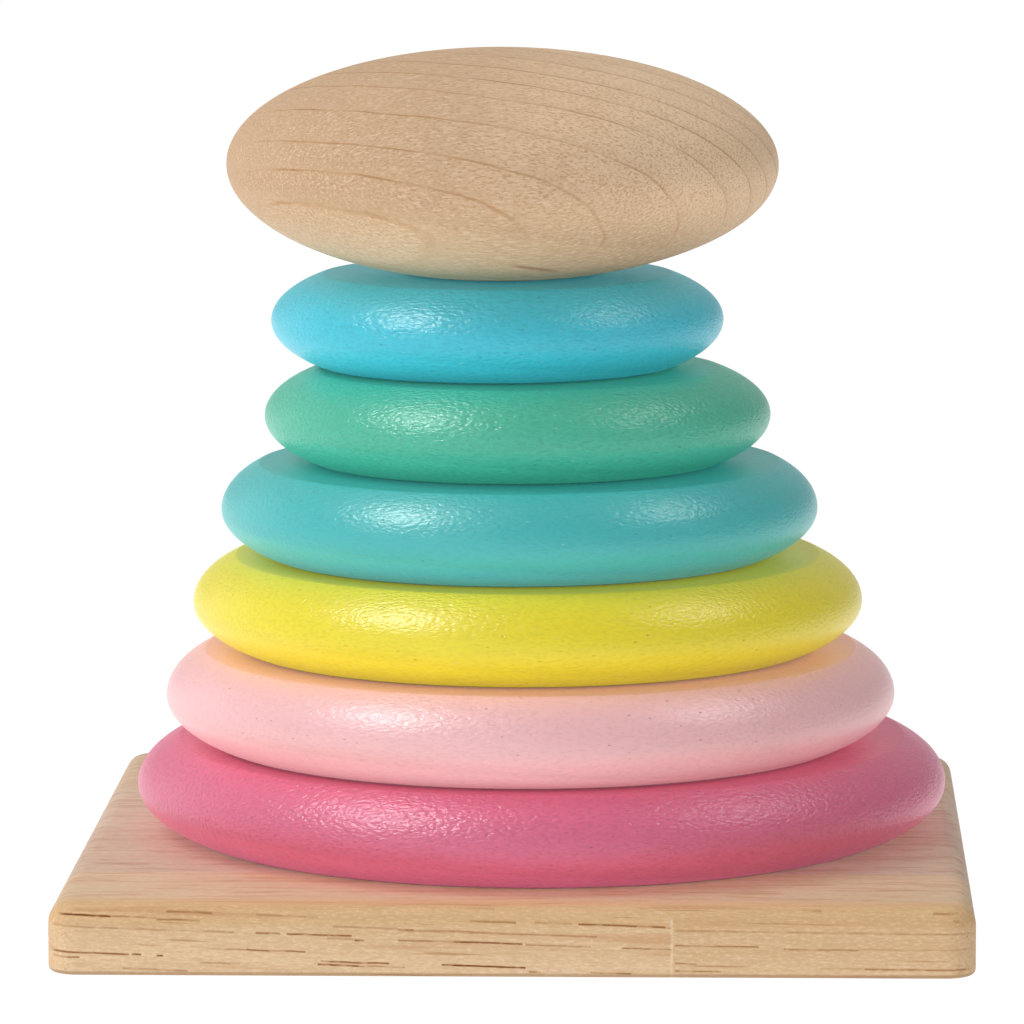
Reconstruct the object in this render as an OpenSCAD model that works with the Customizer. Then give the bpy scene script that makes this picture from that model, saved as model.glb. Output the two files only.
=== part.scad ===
// Wooden stacking cone: six painted rings and an oval topper on a peg in a square glued-up base board.
// Millimetres. Origin at the middle of the underside, +X to the right, +Y to the back, +Z up.

/* [Base board] */
// Side of the square base board
base_side = 150; // [130:1:180]
// Thickness of the base board
base_t = 11.4; // [9:0.1:20]
// Radius of the round on the board's top edge
base_top_r = 3.4; // [1:0.1:4]
// Radius of the round on the board's bottom edge
base_bottom_r = 1; // [0.4:0.1:3]
// Radius of the board's upright corners
base_corner_r = 5; // [4:0.5:12]
// Depth of the front stave, trimmed narrower than the others
front_stave_w = 30; // [24:1:40]
// Depth of a full stave; the back stave takes what is left
stave_w = 40; // [30:1:48]
// Distance of the front stave's finger joint from the middle, to the right
finger_joint_x = 26; // [-40:1:50]
// Length of one finger of the joint
finger_l = 7.4; // [4:0.2:12]
// Number of fingers across the front stave
finger_count = 5; // [2:1:8]
// Width of a finger's blunt tip
finger_tip_w = 0.7; // [0.4:0.1:1.2]

/* [Peg] */
// Diameter of the peg
peg_d = 12; // [8:0.5:20]
// Depth of the peg's blind hole in the base
peg_seat_depth = 8; // [5:0.5:8.5]
// Glue gap around and under the peg in its hole
glue_gap = 0.1; // [0.05:0.05:0.3]
// How far the peg reaches into the topper
peg_reach = 14; // [8:0.5:18]
// Chamfer on the peg's tip
peg_chamfer = 2; // [0.5:0.5:3.5]

/* [Rings] */
// Thickness of every ring
ring_t = 15.85; // [12:0.05:20]
// Radial room between the peg and a ring's bore
ring_room = 6; // [3:0.5:9]
// Chamfer on the edges of a ring's bore
bore_chamfer = 0.4; // [0.2:0.1:1.5]
// How far the rounded edge reaches out past the flat faces
edge_depth = 9; // [5:0.1:12]
// How far the edge's ellipse would run on past each face
edge_overrun = 2.25; // [0.5:0.05:6]
// Room kept free between a shifted ring or topper and the peg
shift_room = 0.5; // [0.2:0.1:1]

/* [Magenta ring] */
// Diameter of the magenta ring
magenta_d = 138.4; // [120:0.2:148]
// Shift of the magenta ring off the peg's axis, as a share of its play
magenta_shift = 0.6; // [0:0.02:1]
// Bearing of that shift, turned from +X
magenta_bearing = 33; // [0:1:359]

/* [Pink ring] */
// Diameter of the pink ring
pink_d = 124.2; // [106:0.2:140]
// Shift of the pink ring off the peg's axis, as a share of its play
pink_shift = 0.48; // [0:0.02:1]
// Bearing of that shift, turned from +X
pink_bearing = 293; // [0:1:359]

/* [Yellow ring] */
// Diameter of the yellow ring
yellow_d = 114; // [98:0.2:130]
// Shift of the yellow ring off the peg's axis, as a share of its play
yellow_shift = 0.3; // [0:0.02:1]
// Bearing of that shift, turned from +X
yellow_bearing = 290; // [0:1:359]

/* [Teal ring] */
// Diameter of the teal ring
teal_d = 101.4; // [88:0.2:118]
// Shift of the teal ring off the peg's axis, as a share of its play
teal_shift = 0.48; // [0:0.02:1]
// Bearing of that shift, turned from +X
teal_bearing = 253; // [0:1:359]

/* [Green ring] */
// Diameter of the green ring
green_d = 86; // [74:0.2:104]
// Shift of the green ring off the peg's axis, as a share of its play
green_shift = 0.38; // [0:0.02:1]
// Bearing of that shift, turned from +X
green_bearing = 239; // [0:1:359]

/* [Blue ring] */
// Diameter of the blue ring
blue_d = 77; // [66:0.2:92]
// Shift of the blue ring off the peg's axis, as a share of its play
blue_shift = 0.88; // [0:0.02:1]
// Bearing of that shift, turned from +X
blue_bearing = 162; // [0:1:359]

/* [Topper] */
// Diameter of the oval topper
topper_d = 93.6; // [80:0.2:110]
// Height of the topper's full oval, before its foot is cut flat
topper_h = 39.1; // [32:0.1:50]
// Width of the flat seat that the topper's foot has outside the ring's bore
foot_seat_w = 1.6; // [1:0.1:4]
// Radial room between the peg and the topper's bore
topper_room = 5; // [3:0.5:6]
// Room left above the peg in the topper's bore
bore_headroom = 4; // [2:0.5:8]
// Shift of the topper off the peg's axis, as a share of its play
topper_shift = 0.8; // [0:0.02:1]
// Bearing of that shift, turned from +X
topper_bearing = 180; // [0:1:359]

/* [Hidden] */
$fn = 128;
// Overlap that carries a cut past the face that it opens
cut_over = 1;

// Number of straight steps along a ring's rounded edge and along the topper's oval
edge_steps = 24;
oval_steps = 60;

// Front and back faces of the staves, along Y
front_y = -base_side / 2;
first_glue_y = front_y + front_stave_w;
second_glue_y = first_glue_y + stave_w;
third_glue_y = second_glue_y + stave_w;
back_y = base_side / 2;

// Levels along Z
stack_z = base_t;
ring_count = 6;
topper_z = stack_z + ring_count * ring_t;
peg_bottom_z = base_t - peg_seat_depth + glue_gap;
peg_top_z = topper_z + peg_reach;

// Bores and their play around the peg
peg_r = peg_d / 2;
ring_bore_r = peg_r + ring_room;
topper_bore_r = peg_r + topper_room;
ring_play = ring_room - shift_room;
topper_play = topper_room - shift_room;

// Ellipse of a ring's edge: its half height, the angle at which it meets the faces, and its half width
ring_half_t = ring_t / 2;
edge_half_h = ring_half_t + edge_overrun;
edge_angle = asin(ring_half_t / edge_half_h);
edge_half_w = edge_depth / (1 - cos(edge_angle));

// Topper: half sizes of the oval, and the flat foot that it stands on
topper_r = topper_d / 2;
topper_half_h = topper_h / 2;
foot_r = ring_bore_r + bore_chamfer + foot_seat_w;
foot_angle = -acos(foot_r / topper_r);
foot_drop = -topper_half_h * sin(foot_angle);

// Diameter, shift, bearing and colour of each ring, from the bottom up
RINGS = [
    [magenta_d, magenta_shift, magenta_bearing, [0.82, 0.34, 0.48]],
    [pink_d, pink_shift, pink_bearing, [0.95, 0.72, 0.73]],
    [yellow_d, yellow_shift, yellow_bearing, [0.91, 0.83, 0.22]],
    [teal_d, teal_shift, teal_bearing, [0.28, 0.70, 0.70]],
    [green_d, green_shift, green_bearing, [0.30, 0.70, 0.58]],
    [blue_d, blue_shift, blue_bearing, [0.26, 0.69, 0.76]],
];

// Place on the XY plane at a distance along a bearing
function on_bearing(distance, bearing) = distance * [cos(bearing), sin(bearing), 0];

// Section through the board's rim, from the centre line of the corner round outwards
module rim_section() {
    difference() {
        square([base_corner_r, base_t]);
        translate([base_corner_r - base_top_r, base_t - base_top_r])
            difference() {
                square(base_top_r + cut_over);
                circle(r = base_top_r);
            }
        translate([base_corner_r - base_bottom_r, base_bottom_r])
            mirror([0, 1])
                difference() {
                    square(base_bottom_r + cut_over);
                    circle(r = base_bottom_r);
                }
    }
}

// Whole base board with its rounded rim, before it is parted into staves
module board() {
    core = base_side - 2 * base_corner_r;
    translate([-core / 2, -core / 2, 0])
        cube([core, core, base_t]);
    for (turn = [0:90:270])
        rotate(turn) {
            translate([core / 2, core / 2, 0])
                rotate([90, 0, 0])
                    linear_extrude(core)
                        rim_section();
            translate([core / 2, core / 2, 0])
                rotate_extrude(angle = 90)
                    rim_section();
        }
}

// Board with the peg's blind hole
module drilled_board() {
    difference() {
        board();
        translate([0, 0, base_t - peg_seat_depth])
            cylinder(r = peg_r + glue_gap, h = peg_seat_depth + cut_over);
    }
}

// Slab that spans the board between two depths
module stave_slab(from_y, to_y) {
    translate([-base_side / 2 - cut_over, from_y, -cut_over])
        cube([base_side + 2 * cut_over, to_y - from_y, base_t + 2 * cut_over]);
}

// One full stave of the board
module stave(from_y, to_y) {
    color([0.83, 0.69, 0.52])
        intersection() {
            drilled_board();
            stave_slab(from_y, to_y);
        }
}

// Points of the finger joint in the front stave, from the front to the first glue line
function finger_line() =
    let (pitch = front_stave_w / finger_count, blunt = finger_tip_w / 2)
    [
        for (i = [0:finger_count - 1])
            let (y = front_y + i * pitch)
            each [
                [finger_joint_x, y + blunt],
                [finger_joint_x - finger_l, y + pitch / 2 - blunt],
                [finger_joint_x - finger_l, y + pitch / 2 + blunt],
                [finger_joint_x, y + pitch - blunt],
            ],
        [finger_joint_x, first_glue_y],
    ];

// Part of the front stave on one side of its finger joint: side is -1 on the left, 1 on the right
module front_part(side) {
    outer_x = side * (base_side / 2 + cut_over);
    color([0.85, 0.72, 0.55])
        intersection() {
            drilled_board();
            translate([0, 0, -cut_over])
                linear_extrude(base_t + 2 * cut_over)
                    polygon(concat(
                        [[outer_x, first_glue_y], [outer_x, front_y - cut_over]],
                        [[finger_joint_x, front_y - cut_over]],
                        finger_line()
                    ));
        }
}

module front_left_stave() {
    front_part(-1);
}

module front_right_stave() {
    front_part(1);
}

module second_stave() {
    stave(first_glue_y, second_glue_y);
}

module third_stave() {
    stave(second_glue_y, third_glue_y);
}

module back_stave() {
    stave(third_glue_y, back_y + cut_over);
}

module peg() {
    shank = peg_top_z - peg_bottom_z - peg_chamfer;
    color([0.86, 0.74, 0.57])
        translate([0, 0, peg_bottom_z]) {
            cylinder(r = peg_r, h = shank);
            translate([0, 0, shank])
                cylinder(r1 = peg_r, r2 = peg_r - peg_chamfer, h = peg_chamfer);
        }
}

// Half section of a ring without its bore: flat faces and an elliptical edge
module ring_section(radius) {
    polygon([
        [0, -ring_half_t],
        for (i = [0:edge_steps])
            let (angle = edge_angle * (2 * i / edge_steps - 1))
            [radius - edge_half_w * (1 - cos(angle)), edge_half_h * sin(angle)],
        [0, ring_half_t],
    ]);
}

// Bore along Z with a chamfer at each end that is asked for
module chamfered_bore(radius, from_z, to_z, chamfer_top) {
    depth = to_z - from_z;
    translate([0, 0, from_z]) {
        translate([0, 0, -cut_over])
            cylinder(r = radius, h = depth + (chamfer_top ? 2 * cut_over : cut_over));
        translate([0, 0, -cut_over])
            cylinder(r1 = radius + bore_chamfer + cut_over, r2 = radius, h = bore_chamfer + cut_over);
        if (chamfer_top)
            translate([0, 0, depth - bore_chamfer])
                cylinder(r1 = radius, r2 = radius + bore_chamfer + cut_over, h = bore_chamfer + cut_over);
    }
}

// Ring in its place in the stack, counted from the bottom
module ring(level) {
    size = RINGS[level];
    color(size[3])
        translate(on_bearing(size[1] * ring_play, size[2]) + [0, 0, stack_z + (level + 0.5) * ring_t])
            difference() {
                rotate_extrude()
                    ring_section(size[0] / 2);
                chamfered_bore(ring_bore_r, -ring_half_t, ring_half_t, true);
            }
}

module magenta_ring() {
    ring(0);
}

module pink_ring() {
    ring(1);
}

module yellow_ring() {
    ring(2);
}

module teal_ring() {
    ring(3);
}

module green_ring() {
    ring(4);
}

module blue_ring() {
    ring(5);
}

// Half section of the topper, with its foot at height 0
module topper_section() {
    translate([0, foot_drop])
        polygon([
            [0, -foot_drop],
            for (i = [0:oval_steps])
                let (angle = foot_angle + (90 - foot_angle) * i / oval_steps)
                [topper_r * cos(angle), topper_half_h * sin(angle)],
        ]);
}

module topper() {
    color([0.84, 0.70, 0.55])
        translate(on_bearing(topper_shift * topper_play, topper_bearing) + [0, 0, topper_z])
            difference() {
                rotate_extrude()
                    topper_section();
                chamfered_bore(topper_bore_r, 0, peg_reach + bore_headroom, false);
            }
}

front_left_stave();
front_right_stave();
second_stave();
third_stave();
back_stave();
peg();
magenta_ring();
pink_ring();
yellow_ring();
teal_ring();
green_ring();
blue_ring();
topper();
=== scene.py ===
import math
from collections import namedtuple

import bpy
from mathutils import Matrix, Vector, noise


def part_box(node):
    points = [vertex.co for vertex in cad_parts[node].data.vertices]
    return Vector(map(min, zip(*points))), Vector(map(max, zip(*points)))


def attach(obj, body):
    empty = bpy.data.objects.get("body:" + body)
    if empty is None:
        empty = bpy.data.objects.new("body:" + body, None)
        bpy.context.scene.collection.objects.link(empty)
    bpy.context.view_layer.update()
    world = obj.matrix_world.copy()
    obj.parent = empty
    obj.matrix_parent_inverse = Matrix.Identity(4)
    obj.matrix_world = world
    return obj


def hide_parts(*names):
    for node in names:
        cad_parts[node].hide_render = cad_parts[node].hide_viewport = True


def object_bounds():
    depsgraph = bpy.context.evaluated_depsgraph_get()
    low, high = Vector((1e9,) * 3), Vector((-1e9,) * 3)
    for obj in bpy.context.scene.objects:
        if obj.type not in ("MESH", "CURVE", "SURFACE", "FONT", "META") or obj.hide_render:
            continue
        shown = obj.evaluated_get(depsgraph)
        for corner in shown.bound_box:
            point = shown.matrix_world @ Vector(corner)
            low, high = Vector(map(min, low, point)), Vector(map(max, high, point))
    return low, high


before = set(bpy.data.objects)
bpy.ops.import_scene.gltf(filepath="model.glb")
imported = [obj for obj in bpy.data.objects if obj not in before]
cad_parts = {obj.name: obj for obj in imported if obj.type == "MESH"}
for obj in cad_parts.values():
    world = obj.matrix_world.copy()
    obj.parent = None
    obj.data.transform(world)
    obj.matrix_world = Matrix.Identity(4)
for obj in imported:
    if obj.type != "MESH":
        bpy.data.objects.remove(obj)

# The CAD model's box, before any piece is added
CAD_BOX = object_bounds()

# Lengths in the script are millimetres, and MM turns them into metres
MM = 0.001

# Turned pieces: steps around the axis, and points along the flats and curves of a profile
TURN_STEPS = 480
FACE_POINTS = 8
SHOULDER_POINTS = 5
EDGE_POINTS = 26
OVAL_POINTS = 90
WALL_POINTS = 6

# Softening of a ring's shoulder, the share of it by which the edge ends below the face, softening of the
# bores' rims, and the paint's gap between stacked faces
SHOULDER_SOFT = 0.4
SHOULDER_DROP = 0.4
RIM_SOFT = 0.5
FACE_GAP = 0.03

# How far a ring's edge ellipse would run on past each face
EDGE_OVERRUN = 2.25

# Uneven surface of the turned pieces: depth and wave length of the slow swell
SWELL_DEPTH = 0.05
SWELL_LENGTH = 16.0

# Lean of the topper on its foot: drop to the right for each millimetre, and the height by which it is full
TOPPER_LEAN = 0.0050
LEAN_RISE = 10.0

# In the finishes below, a noise has its waves to the millimetre, detail and roughness, and a stretch along
# the axes where it is drawn out. Dots have their cells to the millimetre, radius in cells, and the share of
# the cells that have one. A step has the two values between which it runs, and what it gives at each of them.

# Shift of a texture for each seed, and the sockets of a node that mixes colours
SEED_SHIFT = (137.0, 59.0, 83.0)
MIX_SHARE = 0
MIX_BELOW = 6
MIX_ABOVE = 7
MIX_RESULT = 2

# Paint of each ring: colour, painted light tint towards its foot that evens out the coloured bounce light
# there, texture seed, strength of the wood's texture under it, and extra reach of its upper face
RINGS = {
    "magenta": ((0.790, 0.155, 0.285), (0.84, 0.95, 1.20), 1, 1.35, 1.7),
    "pink": ((0.995, 0.560, 0.580), (0.84, 1.07, 1.02), 2, 0.85, 2.2),
    "yellow": ((0.930, 0.785, 0.024), (0.72, 0.93, 1.00), 3, 0.95, 1.6),
    "teal": ((0.062, 0.530, 0.535), (1.20, 0.87, 1.50), 4, 0.80, 2.4),
    "green": ((0.070, 0.535, 0.362), (1.03, 0.87, 0.87), 5, 1.35, 0.2),
    "blue": ((0.050, 0.605, 0.770), (1.40, 0.90, 0.94), 6, 1.25, 0.0),
}

# Surface of the paint: roughness, level of its gloss, and how far turning marks draw its reflections out
PAINT_ROUGHNESS = 0.35
PAINT_GLOSS = 0.7
PAINT_BRUSHED = 0.55
QUARTER_TURN = 0.25

# Textures of the paint: stretch of the wood under it, that wood's ripples and waves, uneven cover, pits and
# pale grains
PAINT_STRETCH = (0.38, 0.55, 1.0)
RIPPLE_NOISE = (2.4, 1.5, 0.5)
WAVE_NOISE = (0.8, 1.0, 0.4)
COVER_NOISE = (0.06, 2.0, 0.5)
PIT_DOTS = (0.9, 0.16, 0.40)
GRAIN_DOTS = (0.8, 0.14, 0.30)

# Heights of those textures
RIPPLE_H = 0.20
WAVE_H = 0.06
PIT_H = -0.08
GRAIN_H = 0.06

# Tones of the paint: shares of uneven cover, of hollows between ripples, of pits and of pale grains, and what
# each does to the colour
COVER_STEP = (0.3, 0.7, 0.0, 0.12)
HOLLOW_LIMITS = (0.32, 0.56)
HOLLOW_SHARE = 0.50
HOLLOW_TINT = (0.84, 0.84, 0.84)
PIT_SHARE = 0.65
PIT_TINT = (0.35, 0.35, 0.35)
GRAIN_SHARE = 0.50
GRAIN_WHITE = 0.45

# Painted shade on a ring's upper face, where the ring above shades it: depths below the solid's face at which
# it starts and is full, its share and its tint
FACE_SHADE_FROM = 5 * FACE_GAP
FACE_SHADE_FULL = 2 * FACE_GAP
FACE_SHADE_SHARE = 0.24
FACE_SHADE_TINT = (0.65, 0.45, 0.45)

# Height of the stretch above a ring's foot that carries the painted light tint
FOOT_LIGHT_TINT_H = 6.0

# Painted contact shadow along the rim where a turned piece meets the one below: its height, the share of it
# that is full, its darkness, and its tint on paint
CONTACT_SHADE_H = 0.52
CONTACT_SHADE_CORE = 0.45
CONTACT_SHADE_SHARE = 0.85
CONTACT_SHADE_TINT = (0.20, 0.20, 0.20)

# Wood of each stave: pale and dark tone, texture seed and slope of its grain
STAVES = {
    "front_left_stave": ((0.850, 0.620, 0.390), (0.680, 0.440, 0.235), 11, 0.031),
    "front_right_stave": ((0.825, 0.590, 0.365), (0.650, 0.415, 0.215), 12, 0.010),
    "second_stave": ((0.740, 0.560, 0.420), (0.580, 0.385, 0.265), 13, 0.020),
    "third_stave": ((0.780, 0.635, 0.495), (0.640, 0.455, 0.330), 14, 0.025),
    "back_stave": ((0.780, 0.570, 0.380), (0.620, 0.400, 0.230), 15, 0.015),
}

# Wood of all staves: stretch along the grain, textures, steps from each texture to the share of its tone,
# heights and surface
GRAIN_STRETCH = (0.035, 1.0, 1.0)
STAVE_NOISES = {
    "broad": (0.16, 2.0, 0.5),
    "streaks": (0.9, 3.0, 0.6),
    "fine": (3.4, 2.0, 0.65),
    "flecks": (3.4, 2.0, 0.65, (8.0, 1.0, 1.0)),
    "dashes": (0.5, 3.0, 0.65, (4.0, 1.0, 1.0)),
    "grit": (0.9, 2.0, 0.6, (18.0, 1.0, 1.0)),
    "rust": (0.55, 2.0, 0.5),
    "pores": (1.35, 1.0, 0.5),
}
STAVE_STEPS = {
    "broad": (0.30, 0.70, 0.0, 1.0),
    "streaks": (0.45, 0.78, 0.0, 0.55),
    "fine": (0.35, 0.65, 0.34, 0.0),
    "flecks": (0.34, 0.52, 0.45, 0.0),
    "dashes": (0.53, 0.66, 0.0, 0.55),
    "grit": (0.34, 0.56, 0.36, 0.0),
    "rust": (0.55, 0.70, 0.0, 0.40),
    "pores": (0.665, 0.75, 0.0, 0.40),
}
STAVE_HEIGHTS = {"fine": 0.020, "streaks": 0.020, "flecks": 0.020}
STAVE_ROUGHNESS_STEP = (0.3, 0.7, 0.52, 0.60)
STAVE_GLOSS = 0.18

# Tones of the staves: share by which they stay pale, rust from the dark tone, pale flecks, and open pores
STAVE_PALE_SHARE = 0.55
RUST_TINT = (0.85, 0.62, 0.55)
PALE_FLECK_STEP = (0.52, 0.68, 0.0, 0.40)
PALE_FLECK_TINT = (1.18, 1.18, 1.18)
PORE_TONE = (0.43, 0.150, 0.030)
DEEP_PORE_TONE = (0.15, 0.030, 0.003)
DEEP_PORE_POWER = 2.5

# Top of the board: depths behind its front at which the top's tone starts and is full, share and tone.
# Then the steps, by height, of the painted shading on its front's upper edge and of the painted contact
# shadow at its foot, and their tones.
TOP_FROM = 3.0
TOP_FULL = 10.0
TOP_SHARE = 0.45
TOP_TONE = (0.72, 0.57, 0.45)
FRONT_EDGE_SHADE_STEP = (7.6, 9.2, 0.0, 0.8)
FRONT_EDGE_SHADE_TINT = (0.99, 0.92, 0.80)
BOARD_FOOT_SHADE_STEP = (0.45, 0.95, 0.55, 0.0)
BOARD_FOOT_SHADE_TONE = (0.17, 0.075, 0.030)

# Dark vessel lines on the board's front face: height at the middle of the board, start, end and darkness
LEFT_VESSELS = (
    (7.75, -74.0, -64.5, 1.0),
    (7.75, -64.5, -57.0, 0.5),
    (7.55, -57.0, -50.0, 0.6),
    (5.90, -74.0, -44.5, 0.4),
    (1.70, -74.0, -61.5, 0.8),
    (1.75, -61.0, -59.5, 0.9),
    (1.70, -57.0, -56.0, 0.9),
    (0.90, -74.0, -69.5, 0.7),
    (-0.65, -62.5, -52.0, 0.5),
    (0.75, -50.0, -43.5, 0.4),
    (3.05, -49.0, -41.0, 0.4),
    (3.10, -42.5, -33.0, 0.7),
    (8.75, -55.5, -48.0, 0.6),
    (9.70, -49.5, -46.5, 0.8),
    (8.75, -41.0, -31.0, 0.4),
    (5.95, -41.0, -37.0, 0.7),
    (5.95, -36.0, -25.5, 0.8),
    (5.45, -29.5, -25.0, 0.4),
    (5.30, -25.0, -23.5, 1.0),
    (7.40, -28.5, -18.0, 0.4),
    (7.25, -18.0, -15.5, 0.8),
    (7.20, -14.5, 14.0, 0.5),
    (5.55, -18.0, -9.0, 0.6),
    (5.60, -9.0, 2.0, 0.9),
    (5.55, 2.5, 13.0, 0.5),
    (5.55, 18.0, 26.0, 0.6),
    (1.65, -30.5, -19.5, 0.8),
    (1.10, -31.0, -23.5, 0.9),
    (1.10, -23.5, -17.0, 0.5),
    (1.75, -11.0, 2.5, 1.0),
    (10.90, -8.5, -2.5, 0.6),
    (9.05, -6.5, 1.0, 0.6),
    (9.15, 4.0, 10.0, 0.4),
    (9.15, 11.0, 25.0, 0.8),
    (1.10, 3.0, 5.0, 0.6),
    (1.35, 13.0, 19.5, 0.7),
)
RIGHT_VESSELS = (
    (8.10, 26.5, 75.0, 0.4),
    (5.65, 26.5, 40.0, 0.6),
    (5.30, 44.0, 56.0, 0.5),
    (5.50, 56.0, 75.0, 0.3),
    (2.75, 26.5, 30.0, 0.5),
    (1.50, 26.5, 34.0, 0.6),
    (2.30, 50.0, 57.0, 0.3),
    (2.25, 57.0, 75.0, 0.6),
    (11.40, 47.0, 50.0, 0.5),
    (11.25, 68.0, 72.0, 0.5),
)

# Vessel lines: width over which they fade, how far they wander and how deep they are, depths behind the front
# at which they start to fade and are gone, and the noises that bend and break them
VESSEL_FADE_W = 0.3
VESSEL_WOBBLE = 0.3
VESSEL_DEPTH = 0.02
VESSEL_FADE_FROM = 1.2
VESSEL_FADE_TO = 2.4
BEND_NOISE = (1.0, 2.0, 0.5, (0.22, 0.0, 0.5))
BREAK_NOISE = (1.0, 2.0, 0.5, (0.5, 0.5, 1.2))
BREAK_STEP = (0.36, 0.52, 0.55, 1.0)

# Finger joint of the front stave: its place at the front face, the fingers' length and pitch, and the depth
# behind the face at which its line starts to slant
JOINT_X = 26.0
FINGER_L = 7.4
FINGER_PITCH = 6.0
FINGER_START = 0.45

# Glue in that joint: distances from its middle at which it starts to fade and is gone, the noise that breaks
# it with its step, and its tone
GLUE_CORE = 0.12
GLUE_REACH = 0.32
GLUE_NOISE = (1.0, 2.0, 0.5, (0.3, 0.6, 0.9))
GLUE_STEP = (0.32, 0.60, 0.20, 0.60)
GLUE_TONE = (0.90, 0.74, 0.54)

# Growth rings in the topper's wood: the pith's place and lean from the topper's middle, the stretch along it,
# the rings' radii and wander, half widths of a line and of its core, and widths of the darker wood inside a
# line and past it
PITH_Y = 84.0
PITH_Z = 165.0
PITH_LEAN_Y = 0.56
PITH_LEAN_Z = -0.765
PITH_STRETCH = 0.16
ACROSS_PITH = (0.0, 1.0, 1.0)
GROWTH_RADII = (222.0, 217.2, 212.8, 207.4, 199.5, 191.7, 186.0, 180.6, 174.5, 168.0, 161.0)
GROWTH_RIPPLE = 0.9
GROWTH_NOISE = (1.0, 2.0, 0.5, (0.10, 0.16, 0.16))
GROWTH_LINE_W = 0.24
GROWTH_CORE_W = 0.1
GROWTH_FADE_W = 2.6
GROWTH_END_W = 0.3

# Textures of the topper's wood, dark specks in it, and how far the broad texture shifts the change of tone
TOPPER_NOISES = {
    "pores": (3.6, 2.0, 0.6, (0.34, 1.0, 1.0)),
    "flecks": (2.6, 2.0, 0.6, (0.20, 1.0, 1.0)),
    "broad": (0.035, 2.0, 0.5),
    "patches": (1.0, 2.0, 0.5, (0.05, 0.2, 0.2)),
}
TOPPER_SPECKS = (0.16, 0.10, 0.25)
BROAD_SHIFT = 60.0

# Steps on the topper from its textures, and in millimetres from its middle: up, or to the right.
# The underside steps place a painted shade, stronger to the right, and the painted light steps a paler tone
# low on the left. Low growth lines show less, except to the right, and lines get paler towards both ends.
TOPPER_STEPS = {
    "pores": (0.32, 0.56, 0.66, 0.0),
    "flecks": (0.50, 0.66, 0.0, 0.45),
    "patches": (0.35, 0.65, 0.30, 0.85),
    "across": (0.0, 85.0, 0.0, 1.0),
    "under_shade_up": (-20.0, 1.0, 1.0, 0.0),
    "under_shade_right": (-20.0, 30.0, 0.05, 1.0),
    "painted_light_up": (-14.0, -2.0, 0.35, 0.0),
    "painted_light_right": (-20.0, 5.0, 1.0, 0.0),
    "fades_right": (-20.0, 25.0, 0.42, 0.18),
    "lines_up": (-11.0, 1.0, 0.12, 1.0),
    "low_lines_right": (5.0, 20.0, 0.0, 0.75),
    "lines_right": (-25.0, 30.0, 1.0, 0.70),
    "lines_left_end": (-43.0, -33.0, 0.15, 1.0),
}

# Tones of the topper's wood, among them a painted underside shade, a painted light and a painted contact
# shadow, heights of its textures, and its surface
TOPPER_PALE = (0.940, 0.690, 0.460)
TOPPER_DEEP = (0.620, 0.418, 0.262)
TOPPER_BROWN = (0.480, 0.270, 0.120)
TOPPER_RUST = (0.460, 0.230, 0.085)
TOPPER_UNDER_SHADE = (0.400, 0.220, 0.130)
TOPPER_PAINTED_LIGHT = (0.95, 0.70, 0.49)
TOPPER_FLECK = (0.88, 0.68, 0.48)
TOPPER_CONTACT_SHADE = (0.10, 0.055, 0.030)
TOPPER_SPECK_SHARE = 0.6
TOPPER_PORE_H = 0.025
TOPPER_FLECK_H = 0.012
TOPPER_LINE_H = -0.010
TOPPER_ROUGHNESS_STEP = (0.3, 0.7, 0.62, 0.54)
TOPPER_GLOSS = 0.12

# Reddish streak low on the topper's front: its middle and slope from the topper's middle, half width of its
# core, its half sizes, the part of its length that is full, and its share and tone
STREAK_X = 6.3
STREAK_Z = -15.0
STREAK_SLOPE = 0.20
STREAK_CORE_W = 0.10
STREAK_HALF_W = 0.55
STREAK_HALF_L = 4.6
STREAK_CORE = 0.4
STREAK_SHARE = 0.7
STREAK_TONE = (0.36, 0.13, 0.06)

# Wood of the peg: textures, the steps to their tones, pale and darker tones, heights and surface
DOWEL_NOISES = {
    "streaks": (0.9, 3.0, 0.6, (1.0, 1.0, 0.05)),
    "pores": (3.0, 2.0, 0.5, (1.0, 1.0, 0.05)),
    "flecks": (1.6, 2.0, 0.5, (1.0, 1.0, 0.3)),
}
DOWEL_STEPS = {
    "streaks": (0.35, 0.70, 0.0, 1.0),
    "pores": (0.32, 0.60, 0.45, 0.0),
    "flecks": (0.58, 0.72, 0.0, 0.35),
}
DOWEL_TONES = {
    "streaks": (0.500, 0.325, 0.180),
    "pores": (0.36, 0.21, 0.11),
    "flecks": (0.72, 0.55, 0.37),
}
DOWEL_PALE = (0.640, 0.470, 0.300)
DOWEL_HEIGHTS = {"streaks": 0.03, "pores": 0.02}
DOWEL_ROUGHNESS_STEP = (0.3, 0.7, 0.48, 0.60)
DOWEL_GLOSS = 0.35

# Floor: half its side in metres, its tone and roughness, and its brightness
FLOOR_HALF_SIDE = 6.0
FLOOR_TONE = (0.05, 0.05, 0.05)
FLOOR_ROUGHNESS = 0.9
FLOOR_GLOW = 1.0
WHITE = (1.0, 1.0, 1.0)

# Brightness of the studio's walls near the floor and of its ceiling, the right wall's share of it, and the
# parts of the way up and to the right between which it changes
WALL_GLOW = 0.45
CEILING_GLOW = 0.34
RIGHT_WALL_SHARE = 0.70
GLOW_LIMITS = (0.15, 0.85)

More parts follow.
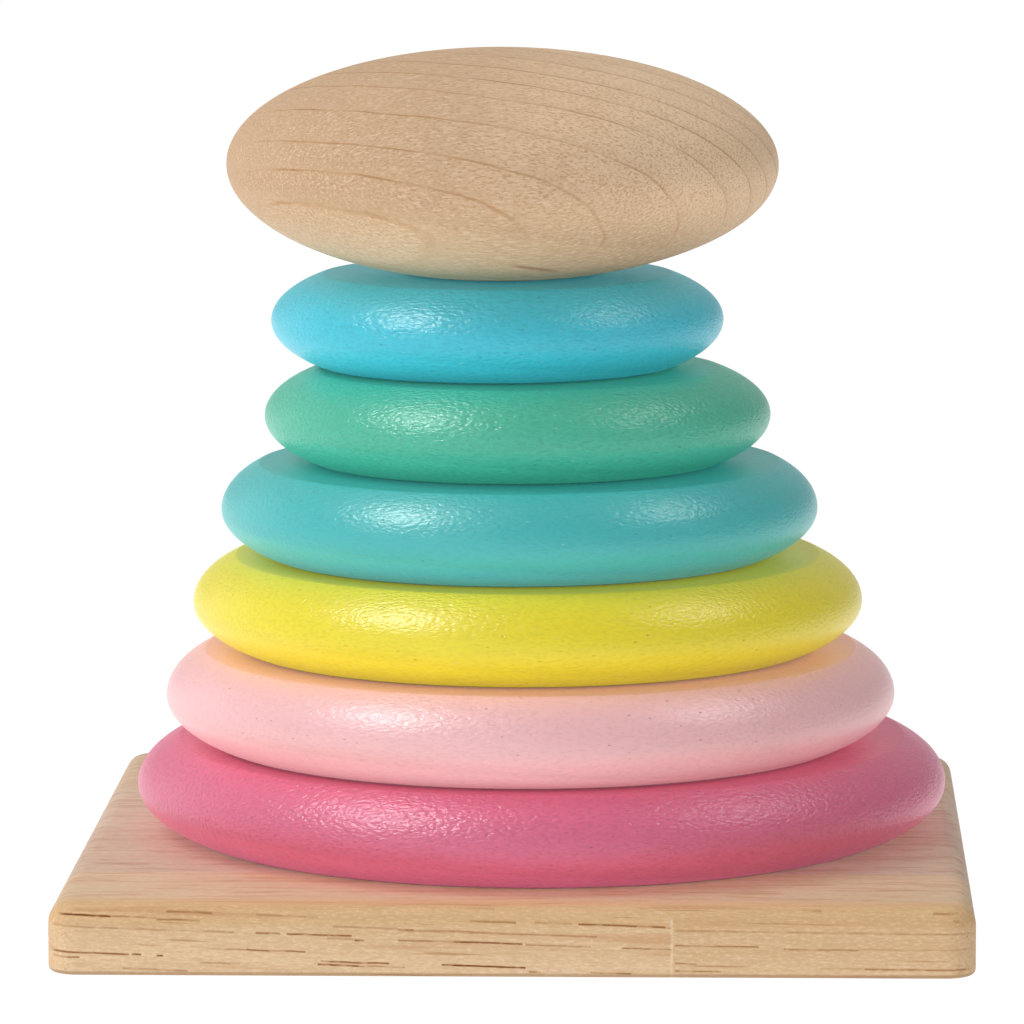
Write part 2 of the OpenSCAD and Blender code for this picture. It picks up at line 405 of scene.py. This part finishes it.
# Softboxes around the toy: degrees to the right of the front, degrees up, width and height in metres, power,
# whether they cast shadows, and what they light: the surfaces themselves, their gloss, or both.
# The last one stands for the light that a white table throws up.
SOFTBOX_DISTANCE = 2.0
SOFTBOXES = {
    "front_left_softbox": (-45, 31, 2.2, 2.2, 4.4, True, "both"),
    "front_left_fill": (-18, 20, 1.5, 1.5, 3.3, False, "surface"),
    "left_softbox": (-85, 18, 1.2, 1.2, 1.2, True, "surface"),
    "left_sheen": (-120, 8, 1.8, 1.8, 6.0, True, "gloss"),
    "upper_left_softbox": (-75, 52, 0.62, 0.62, 6.5, True, "surface"),
    "upper_left_fill": (-60, 72, 0.62, 0.62, 7.0, False, "surface"),
    "upper_back_fill": (-150, 55, 0.80, 0.80, 7.0, False, "surface"),
    "left_glint": (-70, 58, 0.45, 0.45, 20.5, False, "gloss"),
    "right_glint": (95, 55, 0.45, 0.45, 7.5, False, "gloss"),
    "table_bounce": (-95, -62, 2.2, 2.2, 27.5, False, "surface"),
}

# Camera: image side and focal length in pixels, sensor's width and place in millimetres, turn in degrees, and
# clip limits in metres
IMAGE_SIDE = 1024
FOCAL = 6828.0
SENSOR_W = 36.0
CAMERA_PLACE = (38.42, -1153.59, 221.46)
CAMERA_YAW = -2.014
CAMERA_PITCH = 7.692
CAMERA_ROLL = -0.141
CLIP_START = 0.05
CLIP_END = 50.0

# A turned node's axis point at its foot, outer radius and height, and radii of its bore, top face and foot
Measures = namedtuple("Measures", "axis radius height bore face foot")


class Graph:
    """A node material in the making, and its tone so far. Coordinates are millimetres in the part's frame."""

    def __init__(self, name, tone):
        self.material = bpy.data.materials.new(name)
        self.material.use_nodes = True
        self.tree = self.material.node_tree
        self.tree.nodes.clear()
        self.shader = self.tree.nodes.new("ShaderNodeBsdfPrincipled")
        output = self.tree.nodes.new("ShaderNodeOutputMaterial")
        self.tree.links.new(self.shader.outputs["BSDF"], output.inputs["Surface"])
        coordinates = self.tree.nodes.new("ShaderNodeTexCoord")
        self.place = self.vector("SCALE", coordinates.outputs["Object"], scale=1 / MM)
        self.tone = tone

    def put(self, socket, value):
        """Links a socket to an input, or sets the input's own value."""
        if isinstance(value, bpy.types.NodeSocket):
            self.tree.links.new(value, socket)
        elif socket.type == "RGBA" and len(value) == 3:
            socket.default_value = (*value, 1.0)
        else:
            socket.default_value = value

    def set(self, **values):
        """Feeds the surface's inputs; underscores in a name stand for spaces."""
        for name, value in values.items():
            self.put(self.shader.inputs[name.replace("_", " ")], value)

    def math(self, operation, *values):
        node = self.tree.nodes.new("ShaderNodeMath")
        node.operation = operation
        for socket, value in zip(node.inputs, values):
            self.put(socket, value)
        return node.outputs[0]

    def product(self, first, *others):
        """Several values times each other."""
        for other in others:
            first = self.math("MULTIPLY", first, other)
        return first

    def vector(self, operation, first, second=None, scale=None):
        node = self.tree.nodes.new("ShaderNodeVectorMath")
        node.operation = operation
        self.put(node.inputs[0], first)
        if second is not None:
            self.put(node.inputs[1], second)
        if scale is not None:
            self.put(node.inputs["Scale"], scale)
        return node.outputs["Value" if operation == "LENGTH" else "Vector"]

    def axes(self, place):
        """The X, Y and Z of a place."""
        node = self.tree.nodes.new("ShaderNodeSeparateXYZ")
        self.put(node.inputs[0], place)
        return tuple(node.outputs)

    def join(self, *axes):
        """The place with a given X, Y and Z."""
        node = self.tree.nodes.new("ShaderNodeCombineXYZ")
        for socket, value in zip(node.inputs, axes):
            self.put(socket, value)
        return node.outputs[0]

    def noise(self, place, waves, detail, roughness, stretch=None):
        """Smooth noise from 0 to 1."""
        if stretch is not None:
            place = self.vector("MULTIPLY", place, stretch)
        node = self.tree.nodes.new("ShaderNodeTexNoise")
        self.put(node.inputs["Vector"], place)
        self.put(node.inputs["Scale"], waves)
        self.put(node.inputs["Detail"], detail)
        self.put(node.inputs["Roughness"], roughness)
        return node.outputs[0]

    def noises(self, place, table):
        """The noises of a table, by name."""
        return {name: self.noise(place, *setting) for name, setting in table.items()}

    def dots(self, place, cells, radius, share):
        """Scattered dots: 1 in a dot's middle, 0 outside."""
        node = self.tree.nodes.new("ShaderNodeTexVoronoi")
        self.put(node.inputs["Vector"], place)
        self.put(node.inputs["Scale"], cells)
        chance = self.axes(node.outputs["Color"])[0]
        chosen = self.math("LESS_THAN", chance, share)
        dot = self.step(node.outputs["Distance"], 0.0, radius, 1.0, 0.0)
        return self.product(dot, chosen)

    def step(self, value, low, high, at_low, at_high):
        """Smooth step from one result to another, flat outside low and high."""
        node = self.tree.nodes.new("ShaderNodeMapRange")
        node.interpolation_type = "SMOOTHSTEP"
        for socket, given in zip(node.inputs, (value, low, high, at_low, at_high)):
            self.put(socket, given)
        return node.outputs[0]

    def stain(self, share, colour, blend="MIX"):
        """Puts a share of a colour over the tone so far."""
        node = self.tree.nodes.new("ShaderNodeMix")
        node.data_type = "RGBA"
        node.blend_type = blend
        self.put(node.inputs[MIX_SHARE], share)
        self.put(node.inputs[MIX_BELOW], self.tone)
        self.put(node.inputs[MIX_ABOVE], colour)
        self.tone = node.outputs[MIX_RESULT]

    def relief(self, *layers):
        """Bump from textures, each with its height in millimetres."""
        total = 0.0
        for texture, height in layers:
            total = self.math("MULTIPLY_ADD", texture, height, total)
        node = self.tree.nodes.new("ShaderNodeBump")
        node.inputs["Distance"].default_value = MM
        self.put(node.inputs["Height"], total)
        self.set(Normal=node.outputs[0])

    def brushed(self, amount):
        """Draws reflections out across marks that run around the vertical axis."""
        node = self.tree.nodes.new("ShaderNodeTangent")
        node.direction_type = "RADIAL"
        node.axis = "Z"
        self.set(Tangent=node.outputs[0], Anisotropic=amount, Anisotropic_Rotation=QUARTER_TURN)

    def finish(self, roughness, gloss):
        """The material, once its tone, roughness and level of gloss are fed to the surface."""
        self.set(Base_Color=self.tone, Roughness=roughness, Specular_IOR_Level=gloss)
        return self.material


def times(colour, shares):
    """A colour with each channel times its share."""
    return tuple(min(1.0, channel * share) for channel, share in zip(colour, shares))


def moved(graph, seed):
    """The graph's place, shifted so that each seed has a texture of its own."""
    return graph.vector("ADD", graph.place, tuple(seed * shift for shift in SEED_SHIFT))


def contact_shade(graph, foot):
    """Painted contact shadow on a turned piece's rim where it meets the piece below, at the height of its
    foot.
    """
    z = graph.axes(graph.place)[2]
    return graph.step(z, foot + CONTACT_SHADE_H * CONTACT_SHADE_CORE, foot + CONTACT_SHADE_H, CONTACT_SHADE_SHARE, 0.0)


def ring_paint(name, colour, foot_light_tint, seed, strength, foot, top):
    """Semi-gloss paint that lets the wood's fine ripples through, with pits and pale grains. It carries
    painted shade on the upper face, a painted contact shadow along the rim below and a painted light tint
    near its foot.
    Foot and top are the ring's heights."""
    graph = Graph(name, colour)
    place = moved(graph, seed)
    along = graph.vector("MULTIPLY", place, PAINT_STRETCH)
    ripples = graph.noise(along, *RIPPLE_NOISE)
    waves = graph.noise(along, *WAVE_NOISE)
    cover = graph.noise(place, *COVER_NOISE)
    pit_cells, pit_radius, pit_share = PIT_DOTS
    pits = graph.dots(along, pit_cells, pit_radius, pit_share * strength)
    grains = graph.dots(along, *GRAIN_DOTS)

    darker = times(colour, HOLLOW_TINT)
    graph.stain(graph.step(cover, *COVER_STEP), darker)
    graph.stain(graph.step(ripples, *HOLLOW_LIMITS, HOLLOW_SHARE * strength, 0.0), darker)
    graph.stain(graph.product(pits, PIT_SHARE), times(colour, PIT_TINT))
    grain_tone = tuple(GRAIN_WHITE + channel * (1 - GRAIN_WHITE) for channel in colour)
    graph.stain(graph.product(grains, GRAIN_SHARE), grain_tone)
    z = graph.axes(graph.place)[2]
    # Painted light: a tint near the foot that evens out the coloured bounce light from the parts below
    graph.stain(graph.step(z, foot, foot + FOOT_LIGHT_TINT_H, 1.0, 0.0), foot_light_tint, "MULTIPLY")
    # Painted shade on the upper face, where the ring above shades it
    face = graph.step(z, top - FACE_SHADE_FROM, top - FACE_SHADE_FULL, 0.0, FACE_SHADE_SHARE)
    graph.stain(face, times(colour, FACE_SHADE_TINT))
    # Painted contact shadow where the ring sits on the piece below
    graph.stain(contact_shade(graph, foot), times(colour, CONTACT_SHADE_TINT))

    graph.relief(
        (ripples, RIPPLE_H * strength),
        (waves, WAVE_H * strength),
        (pits, PIT_H),
        (grains, GRAIN_H),
    )
    graph.brushed(PAINT_BRUSHED)
    return graph.finish(PAINT_ROUGHNESS, PAINT_GLOSS)


def fibres(graph, place, slope):
    """Place along a stave's sloping grain, drawn out along its length."""
    x, y, z = graph.axes(place)
    climb = graph.math("MULTIPLY_ADD", x, slope, z)
    return graph.vector("MULTIPLY", graph.join(x, y, climb), GRAIN_STRETCH)


def board_front():
    """Place of the board's front face."""
    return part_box("front_left_stave")[0].y / MM


def vessel_lines(graph, lines, slope):
    """Darkness of the listed vessel lines on the front face, each at its own height."""
    x, y, z = graph.axes(graph.place)
    bend = graph.noise(graph.place, *BEND_NOISE)
    height = graph.math("MULTIPLY_ADD", x, slope, z)
    height = graph.math("MULTIPLY_ADD", bend, VESSEL_WOBBLE, height)
    total = 0.0
    for level, start, end, darkness in lines:
        offset = graph.math("ABSOLUTE", graph.math("SUBTRACT", height, level + VESSEL_WOBBLE / 2))
        line = graph.step(offset, 0.0, VESSEL_FADE_W, darkness, 0.0)
        within = graph.math("COMPARE", x, (start + end) / 2, (end - start) / 2)
        total = graph.math("MAXIMUM", total, graph.product(line, within))
    front = board_front()
    near = graph.step(y, front + VESSEL_FADE_FROM, front + VESSEL_FADE_TO, 1.0, 0.0)
    breaks = graph.step(graph.noise(graph.place, *BREAK_NOISE), *BREAK_STEP)
    return graph.product(total, near, breaks)


def glue_zigzag(graph):
    """Paleness of the glue along the fingers that join the two front staves."""
    x, y, _ = graph.axes(graph.place)
    depth = graph.math("MAXIMUM", graph.math("SUBTRACT", y, board_front() + FINGER_START), 0.0)
    steps = graph.math("FRACT", graph.math("DIVIDE", depth, FINGER_PITCH))
    slant = graph.math("ABSOLUTE", graph.math("MULTIPLY_ADD", steps, 2.0, -1.0))
    line = graph.math("MULTIPLY_ADD", slant, FINGER_L, JOINT_X - FINGER_L)
    offset = graph.math("ABSOLUTE", graph.math("SUBTRACT", x, line))
    glue = graph.step(offset, GLUE_CORE, GLUE_REACH, 1.0, 0.0)
    return graph.product(glue, graph.step(graph.noise(graph.place, *GLUE_NOISE), *GLUE_STEP))


def stave_wood(name, pale, dark, seed, slope, lines=()):
    """Oiled open-pored hardwood with long fine streaks, short flecks and dashes of open vessels."""
    graph = Graph(name, pale)
    _, y, z = graph.axes(graph.place)
    textures = graph.noises(fibres(graph, moved(graph, seed), slope), STAVE_NOISES)
    front = board_front()
    on_top = graph.step(y, front + TOP_FROM, front + TOP_FULL, 0.0, 1.0)
    rust = times(dark, RUST_TINT)

    def share(layer):
        return graph.step(textures[layer], *STAVE_STEPS[layer])

    graph.stain(share("broad"), dark)
    graph.stain(STAVE_PALE_SHARE, pale)
    for layer in ("streaks", "fine", "flecks"):
        graph.stain(share(layer), dark)
    graph.stain(graph.step(textures["flecks"], *PALE_FLECK_STEP), times(pale, PALE_FLECK_TINT))
    graph.stain(graph.product(on_top, TOP_SHARE), TOP_TONE)
    for layer, tone in (("dashes", rust), ("grit", dark)):
        graph.stain(graph.product(share(layer), on_top), tone)
    graph.stain(share("rust"), rust)
    on_front = graph.math("SUBTRACT", 1.0, on_top)
    # Painted shading: a yellower, darker band on the front's rounded upper edge
    graph.stain(graph.product(graph.step(z, *FRONT_EDGE_SHADE_STEP), on_front), FRONT_EDGE_SHADE_TINT, "MULTIPLY")
    pores = share("pores")
    if lines:
        pores = graph.math("MAXIMUM", pores, vessel_lines(graph, lines, slope))
    graph.stain(pores, PORE_TONE)
    graph.stain(graph.math("POWER", pores, DEEP_PORE_POWER), DEEP_PORE_TONE)
    if lines:
        graph.stain(glue_zigzag(graph), GLUE_TONE)
    # Painted contact shadow along the board's foot, where it stands on the floor
    graph.stain(graph.step(z, *BOARD_FOOT_SHADE_STEP), BOARD_FOOT_SHADE_TONE)

    heights = [(textures[layer], height) for layer, height in STAVE_HEIGHTS.items()]
    graph.relief(*heights, (pores, -VESSEL_DEPTH))
    return graph.finish(graph.step(textures["streaks"], *STAVE_ROUGHNESS_STEP), STAVE_GLOSS)


def growth_rings(graph, place):
    """Place along the topper's leaning pith, and shares of growth lines and of darker wood inside them."""
    x, y, z = graph.axes(place)
    off_y = graph.math("SUBTRACT", graph.math("MULTIPLY_ADD", x, -PITH_LEAN_Y, y), PITH_Y)
    off_z = graph.math("SUBTRACT", graph.math("MULTIPLY_ADD", x, -PITH_LEAN_Z, z), PITH_Z)
    drawn = graph.join(graph.product(x, PITH_STRETCH), off_y, off_z)
    radius = graph.vector("LENGTH", graph.vector("MULTIPLY", drawn, ACROSS_PITH))
    ripple = graph.noise(place, *GROWTH_NOISE)
    radius = graph.math("SUBTRACT", radius, GROWTH_RIPPLE / 2)
    radius = graph.math("MULTIPLY_ADD", ripple, GROWTH_RIPPLE, radius)
    lines = 0.0
    fades = 0.0
    for growth in GROWTH_RADII:
        past = graph.math("SUBTRACT", radius, growth)
        line = graph.step(graph.math("ABSOLUTE", past), GROWTH_CORE_W, GROWTH_LINE_W, 1.0, 0.0)
        rise = graph.step(past, -GROWTH_FADE_W, 0.0, 0.0, 1.0)
        end = graph.step(past, 0.0, GROWTH_END_W, 1.0, 0.0)
        lines = graph.math("MAXIMUM", lines, line)
        fades = graph.math("MAXIMUM", fades, graph.product(rise, end))
    return drawn, lines, fades


def mineral_streak(graph, x, y, z):
    """Short reddish streak low on the front of the topper."""
    along = graph.math("SUBTRACT", x, STREAK_X)
    off = graph.math("MULTIPLY_ADD", along, STREAK_SLOPE, graph.math("SUBTRACT", z, STREAK_Z))
    line = graph.step(graph.math("ABSOLUTE", off), STREAK_CORE_W, STREAK_HALF_W, 1.0, 0.0)
    reach = graph.step(graph.math("ABSOLUTE", along), STREAK_HALF_L * STREAK_CORE, STREAK_HALF_L, 1.0, 0.0)
    return graph.product(line, reach, graph.math("LESS_THAN", y, 0.0))


def topper_wood(name, middle, foot):
    """Clear-lacquered pale wood with growth lines around a leaning pith and fine pores along the grain."""
    graph = Graph(name, TOPPER_DEEP)
    place = graph.vector("SUBTRACT", graph.place, tuple(middle / MM))
    x, y, z = graph.axes(place)
    drawn, lines, fades = growth_rings(graph, place)
    textures = graph.noises(place, TOPPER_NOISES)

    def share(value, key):
        return graph.step(value, *TOPPER_STEPS[key])

    # The change from the deep tone on the left to the pale tone on the right is partly the wood's own tone
    # and partly painted shade on the left that evens out the stronger light there
    across = graph.math("MULTIPLY_ADD", textures["broad"], BROAD_SHIFT, x)
    graph.stain(share(across, "across"), TOPPER_PALE)
    # Painted shade on the topper's underside, stronger to the right
    graph.stain(graph.product(share(z, "under_shade_up"), share(x, "under_shade_right")), TOPPER_UNDER_SHADE)
    # Painted light: a paler tone low on the topper's left
    graph.stain(graph.product(share(z, "painted_light_up"), share(x, "painted_light_right")), TOPPER_PAINTED_LIGHT)
    graph.stain(share(textures["pores"], "pores"), TOPPER_BROWN)
    graph.stain(share(textures["flecks"], "flecks"), TOPPER_FLECK)
    graph.stain(graph.product(fades, share(x, "fades_right")), TOPPER_DEEP)
    shown = graph.math("MAXIMUM", share(z, "lines_up"), share(x, "low_lines_right"))
    lines = graph.product(lines, shown, share(x, "lines_right"), share(x, "lines_left_end"))
    graph.stain(graph.product(lines, share(textures["patches"], "patches")), TOPPER_RUST)
    graph.stain(graph.product(mineral_streak(graph, x, y, z), STREAK_SHARE), STREAK_TONE)
    graph.stain(graph.product(graph.dots(drawn, *TOPPER_SPECKS), TOPPER_SPECK_SHARE), TOPPER_BROWN)
    # Painted contact shadow where the topper sits on the ring below
    graph.stain(contact_shade(graph, foot), TOPPER_CONTACT_SHADE)

    graph.relief(
        (textures["pores"], TOPPER_PORE_H),
        (textures["flecks"], TOPPER_FLECK_H),
        (lines, TOPPER_LINE_H),
    )
    return graph.finish(graph.step(textures["pores"], *TOPPER_ROUGHNESS_STEP), TOPPER_GLOSS)


def dowel_wood(name):
    """Plain turned dowel with straight grain along its length and pores in its end."""
    graph = Graph(name, DOWEL_PALE)
    textures = graph.noises(graph.place, DOWEL_NOISES)
    for layer, tone in DOWEL_TONES.items():
        graph.stain(graph.step(textures[layer], *DOWEL_STEPS[layer]), tone)
    graph.relief(*((textures[layer], height) for layer, height in DOWEL_HEIGHTS.items()))
    return graph.finish(graph.step(textures["streaks"], *DOWEL_ROUGHNESS_STEP), DOWEL_GLOSS)


def arc(start, corner, end, points):
    """Points of a soft corner between two places, without the first."""
    found = []
    for step in range(1, points + 1):
        share = step / points
        found.append(tuple(
            (1 - share) ** 2 * a + 2 * share * (1 - share) * b + share ** 2 * c
            for a, b, c in zip(start, corner, end)
        ))
    return found


def run(start, end, points):
    """Points of a straight stretch, without the first."""
    return [
        tuple(a + (b - a) * step / points for a, b in zip(start, end))
        for step in range(1, points + 1)
    ]


def turned(name, axis, profile, poles):
    """Mesh turned around a vertical axis from (radius, height) points in millimetres, with a slow swell.
    A profile without poles closes on itself; one with poles starts and ends on the axis."""
    middle = profile[1:-1] if poles else profile
    rows = len(middle)
    points = []
    for step in range(TURN_STEPS):
        angle = 2 * math.pi * step / TURN_STEPS
        outward = Vector((math.cos(angle), math.sin(angle), 0))
        for radius, height in middle:
            place = axis / MM + outward * radius + Vector((0, 0, height))
            swell = noise.noise(place / SWELL_LENGTH) - 1
            points.append((place + outward * swell * SWELL_DEPTH / 2) * MM)
    faces = []
    for step in range(TURN_STEPS):
        here = step * rows
        there = (step + 1) % TURN_STEPS * rows
        for row in range(rows - 1 if poles else rows):
            above = (row + 1) % rows
            faces.append((here + row, there + row, there + above, here + above))
    if poles:
        for end, row in ((0, 0), (-1, rows - 1)):
            tip = len(points)
            points.append(axis + Vector((0, 0, profile[end][1])) * MM)
            for step in range(TURN_STEPS):
                pair = (step * rows + row, (step + 1) % TURN_STEPS * rows + row)
                faces.append((tip, pair[1], pair[0]) if row == 0 else (tip, *pair))
    mesh = bpy.data.meshes.new(name)
    mesh.from_pydata(points, [], faces)
    mesh.shade_smooth()
    mesh.update()
    piece = bpy.data.objects.new(name, mesh)
    bpy.context.scene.collection.objects.link(piece)
    return piece


def places_of(node):
    """Places of a node's corners."""
    return [vertex.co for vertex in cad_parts[node].data.vertices]


def measured(node):
    """Measures of a turned node."""
    low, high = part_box(node)
    axis = Vector(((low.x + high.x) / 2, (low.y + high.y) / 2, low.z))
    places = places_of(node)
    reach = [(place.xy - axis.xy).length / MM for place in places]
    top = [r for r, place in zip(reach, places) if high.z - place.z < FACE_GAP * MM]
    foot = [r for r, place in zip(reach, places) if place.z - low.z < FACE_GAP * MM]
    radius = (high.x - low.x) / 2 / MM
    height = (high.z - low.z) / MM
    return Measures(axis, radius, height, min(reach), max(top), max(foot))


def half_profile(radius, half, bore, face):
    """One face of a ring, from the bore's soft rim over flat and shoulder to the edge's widest point."""
    half_h = half + EDGE_OVERRUN
    half_w = (radius - face) / (1 - math.cos(math.asin(half / half_h)))
    flat = half - FACE_GAP

    def edge(angle):
        return (radius - half_w * (1 - math.cos(angle)), half_h * math.sin(angle))

    soft = math.asin((half - SHOULDER_SOFT * SHOULDER_DROP) / half_h)
    found = [(bore, flat - RIM_SOFT)]
    found += arc(found[-1], (bore, flat), (bore + RIM_SOFT, flat), SHOULDER_POINTS)
    found += run(found[-1], (face - SHOULDER_SOFT, flat), FACE_POINTS)
    found += arc(found[-1], (face, flat), edge(soft), SHOULDER_POINTS)
    return found + [edge(soft * (1 - step / EDGE_POINTS)) for step in range(1, EDGE_POINTS + 1)]


def ring_profile(ring, reach):
    """Closed profile of a ring, whose upper face reaches a little further out than its lower one."""
    half = ring.height / 2
    upper = half_profile(ring.radius, half, ring.bore, ring.face + reach)
    lower = [(r, -h) for r, h in reversed(half_profile(ring.radius, half, ring.bore, ring.face)[:-1])]
    wall = run(lower[-1], upper[0], WALL_POINTS)[:-1]
    return [(r, h + half) for r, h in upper + lower + wall]


def oval_half(topper):
    """Half the height that the topper's oval would have if its foot weren't cut flat."""
    return topper.height / (1 + math.sqrt(1 - (topper.foot / topper.radius) ** 2))


def blind_bore(topper):
    """Radius of the topper's blind bore, and the height of its roof above the foot."""
    axis = topper.axis
    limit = topper.foot - RIM_SOFT
    inner = [place for place in places_of("topper") if (place.xy - axis.xy).length / MM < limit]
    inside = [place for place in inner if place.z - axis.z < topper.height * MM / 2 + RIM_SOFT * MM]
    wall = [place for place in inside if place.z - axis.z > RIM_SOFT * MM]
    bore = min((place.xy - axis.xy).length for place in wall) / MM
    return bore, max(place.z for place in inside) / MM - axis.z / MM


def topper_profile(topper, bore, roof):
    """Profile of the topper from the roof of its blind bore round to its tip."""
    radius, foot = topper.radius, topper.foot
    half_h = oval_half(topper)
    drop = topper.height - half_h
    foot_angle = -math.acos(foot / radius)
    profile = [(0.0, roof), (bore / 2, roof), (bore - RIM_SOFT, roof)]
    profile += arc(profile[-1], (bore, roof), (bore, roof - RIM_SOFT), SHOULDER_POINTS)
    profile += run(profile[-1], (bore, RIM_SOFT), WALL_POINTS)
    profile += arc(profile[-1], (bore, FACE_GAP), (bore + RIM_SOFT, FACE_GAP), SHOULDER_POINTS)
    profile += run(profile[-1], (foot - RIM_SOFT, FACE_GAP), WALL_POINTS)
    first = foot_angle + RIM_SOFT / radius
    start = (radius * math.cos(first), drop + half_h * math.sin(first))
    profile += arc(profile[-1], (foot, FACE_GAP), start, SHOULDER_POINTS)
    for step in range(1, OVAL_POINTS + 1):
        angle = first + (math.pi / 2 - first) * step / OVAL_POINTS
        profile.append((radius * math.cos(angle), drop + half_h * math.sin(angle)))
    profile[-1] = (0.0, topper.height)
    return profile


def dress(piece, node, body, material):
    """Puts a piece in a node's place, on its body and in its material slot."""
    piece.data.materials.append(material)
    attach(piece, body)
    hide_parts(node)


def make_rings():
    """Painted rings in place of the solid ones."""
    for colour_name, (colour, foot_light_tint, seed, strength, reach) in RINGS.items():
        node = colour_name + "_ring"
        ring = measured(node)
        piece = turned(colour_name + "_ring_painted", ring.axis, ring_profile(ring, reach), False)
        low = ring.axis.z / MM
        coat = colour_name + "_paint_coat"
        material = ring_paint(coat, colour, foot_light_tint, seed, strength, low, low + ring.height)
        dress(piece, node, colour_name, material)


def make_topper():
    """Topper in place of the solid one, leaning a little on its foot."""
    topper = measured("topper")
    axis = topper.axis
    piece = turned("topper_turned", axis, topper_profile(topper, *blind_bore(topper)), True)
    for vertex in piece.data.vertices:
        share = min(1.0, (vertex.co.z - axis.z) / MM / LEAN_RISE)
        vertex.co.z -= ((vertex.co.x - axis.x) * TOPPER_LEAN + FACE_GAP * MM) * share
    middle = axis + Vector((0, 0, topper.height - oval_half(topper))) * MM
    material = topper_wood("topper_lacquered_wood", middle, axis.z / MM)
    dress(piece, "topper", "topper", material)


def cover(node, material):
    """Gives a CAD node that stays in view its finished material."""
    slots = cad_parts[node].data.materials
    slots.clear()
    slots.append(material)


def make_base():
    """Finished wood on the staves and the peg."""
    lines = {"front_left_stave": LEFT_VESSELS, "front_right_stave": RIGHT_VESSELS}
    for node, (pale, dark, seed, slope) in STAVES.items():
        cover(node, stave_wood(node + "_wood", pale, dark, seed, slope, lines.get(node, ())))
    cover("peg", dowel_wood("peg_dowel_wood"))


def make_floor():
    """Plain white studio floor."""
    side = FLOOR_HALF_SIDE
    mesh = bpy.data.meshes.new("studio_floor")
    corners = [(-side, -side, 0), (side, -side, 0), (side, side, 0), (-side, side, 0)]
    mesh.from_pydata(corners, [], [(0, 1, 2, 3)])
    floor = bpy.data.objects.new("studio_floor", mesh)
    bpy.context.scene.collection.objects.link(floor)
    graph = Graph("studio_white", FLOOR_TONE)
    graph.set(Emission_Color=WHITE, Emission_Strength=FLOOR_GLOW)
    mesh.materials.append(graph.finish(FLOOR_ROUGHNESS, 0.0))


def softbox(name, turn, climb, width, height, power, shadows, lights):
    """Oblong area light around the toy, facing its middle."""
    middle = Vector((0.0, 0.0, (CAD_BOX[0][2] + CAD_BOX[1][2]) / 2))
    turn = math.radians(turn)
    climb = math.radians(climb)
    level = math.cos(climb)
    outward = Vector((math.sin(turn) * level, -math.cos(turn) * level, math.sin(climb)))
    data = bpy.data.lights.new(name, "AREA")
    data.shape = "RECTANGLE"
    data.size = width
    data.size_y = height
    data.energy = power
    data.use_shadow = shadows
    light = bpy.data.objects.new(name, data)
    light.location = middle + outward * SOFTBOX_DISTANCE
    light.rotation_euler = (-outward).to_track_quat("-Z", "Y").to_euler()
    light.visible_camera = False
    light.visible_diffuse = lights != "gloss"
    light.visible_glossy = lights != "surface"
    bpy.context.scene.collection.objects.link(light)


def make_light():
    """White walls that darken towards the ceiling and to the right, and softboxes."""
    world = bpy.data.worlds.new("studio_world")
    bpy.context.scene.world = world
    world.use_nodes = True
    tree = world.node_tree
    background = tree.nodes["Background"]
    coordinates = tree.nodes.new("ShaderNodeTexCoord")
    split = tree.nodes.new("ShaderNodeSeparateXYZ")
    product = tree.nodes.new("ShaderNodeMath")
    product.operation = "MULTIPLY"
    tree.links.new(coordinates.outputs["Generated"], split.inputs[0])
    fades = {"Z": (WALL_GLOW, CEILING_GLOW), "X": (1.0, RIGHT_WALL_SHARE)}
    for factor, (axis, glow) in zip(product.inputs, fades.items()):
        fade = tree.nodes.new("ShaderNodeMapRange")
        fade.interpolation_type = "SMOOTHSTEP"
        for socket, value in zip(fade.inputs[1:5], GLOW_LIMITS + glow):
            socket.default_value = value
        tree.links.new(split.outputs[axis], fade.inputs[0])
        tree.links.new(fade.outputs[0], factor)
    tree.links.new(product.outputs[0], background.inputs["Strength"])
    background.inputs["Color"].default_value = (*WHITE, 1.0)
    for name, setting in SOFTBOXES.items():
        softbox(name, *setting)
    scene = bpy.context.scene
    scene.view_settings.view_transform = "Standard"
    scene.view_settings.look = "None"


def make_camera():
    """Camera at the photograph's place and angle."""
    yaw, pitch, roll = (math.radians(turn) for turn in (CAMERA_YAW, CAMERA_PITCH, CAMERA_ROLL))
    ahead = Vector((
        math.sin(yaw) * math.cos(pitch),
        math.cos(yaw) * math.cos(pitch),
        -math.sin(pitch),
    ))
    level = Vector((math.cos(yaw), -math.sin(yaw), 0))
    above = level.cross(ahead)
    right = level * math.cos(roll) + above * math.sin(roll)
    up = above * math.cos(roll) - level * math.sin(roll)
    data = bpy.data.cameras.new("photo_camera")
    data.sensor_fit = "HORIZONTAL"
    data.sensor_width = SENSOR_W
    data.lens = FOCAL * SENSOR_W / IMAGE_SIDE
    data.clip_start = CLIP_START
    data.clip_end = CLIP_END
    camera = bpy.data.objects.new("photo_camera", data)
    place = Vector(CAMERA_PLACE) * MM
    turn = Matrix((right, up, -ahead)).transposed().to_4x4()
    camera.matrix_world = Matrix.Translation(place) @ turn
    bpy.context.scene.collection.objects.link(camera)
    bpy.context.scene.camera = camera


make_camera()
make_floor()
make_light()
make_base()
make_rings()
make_topper()
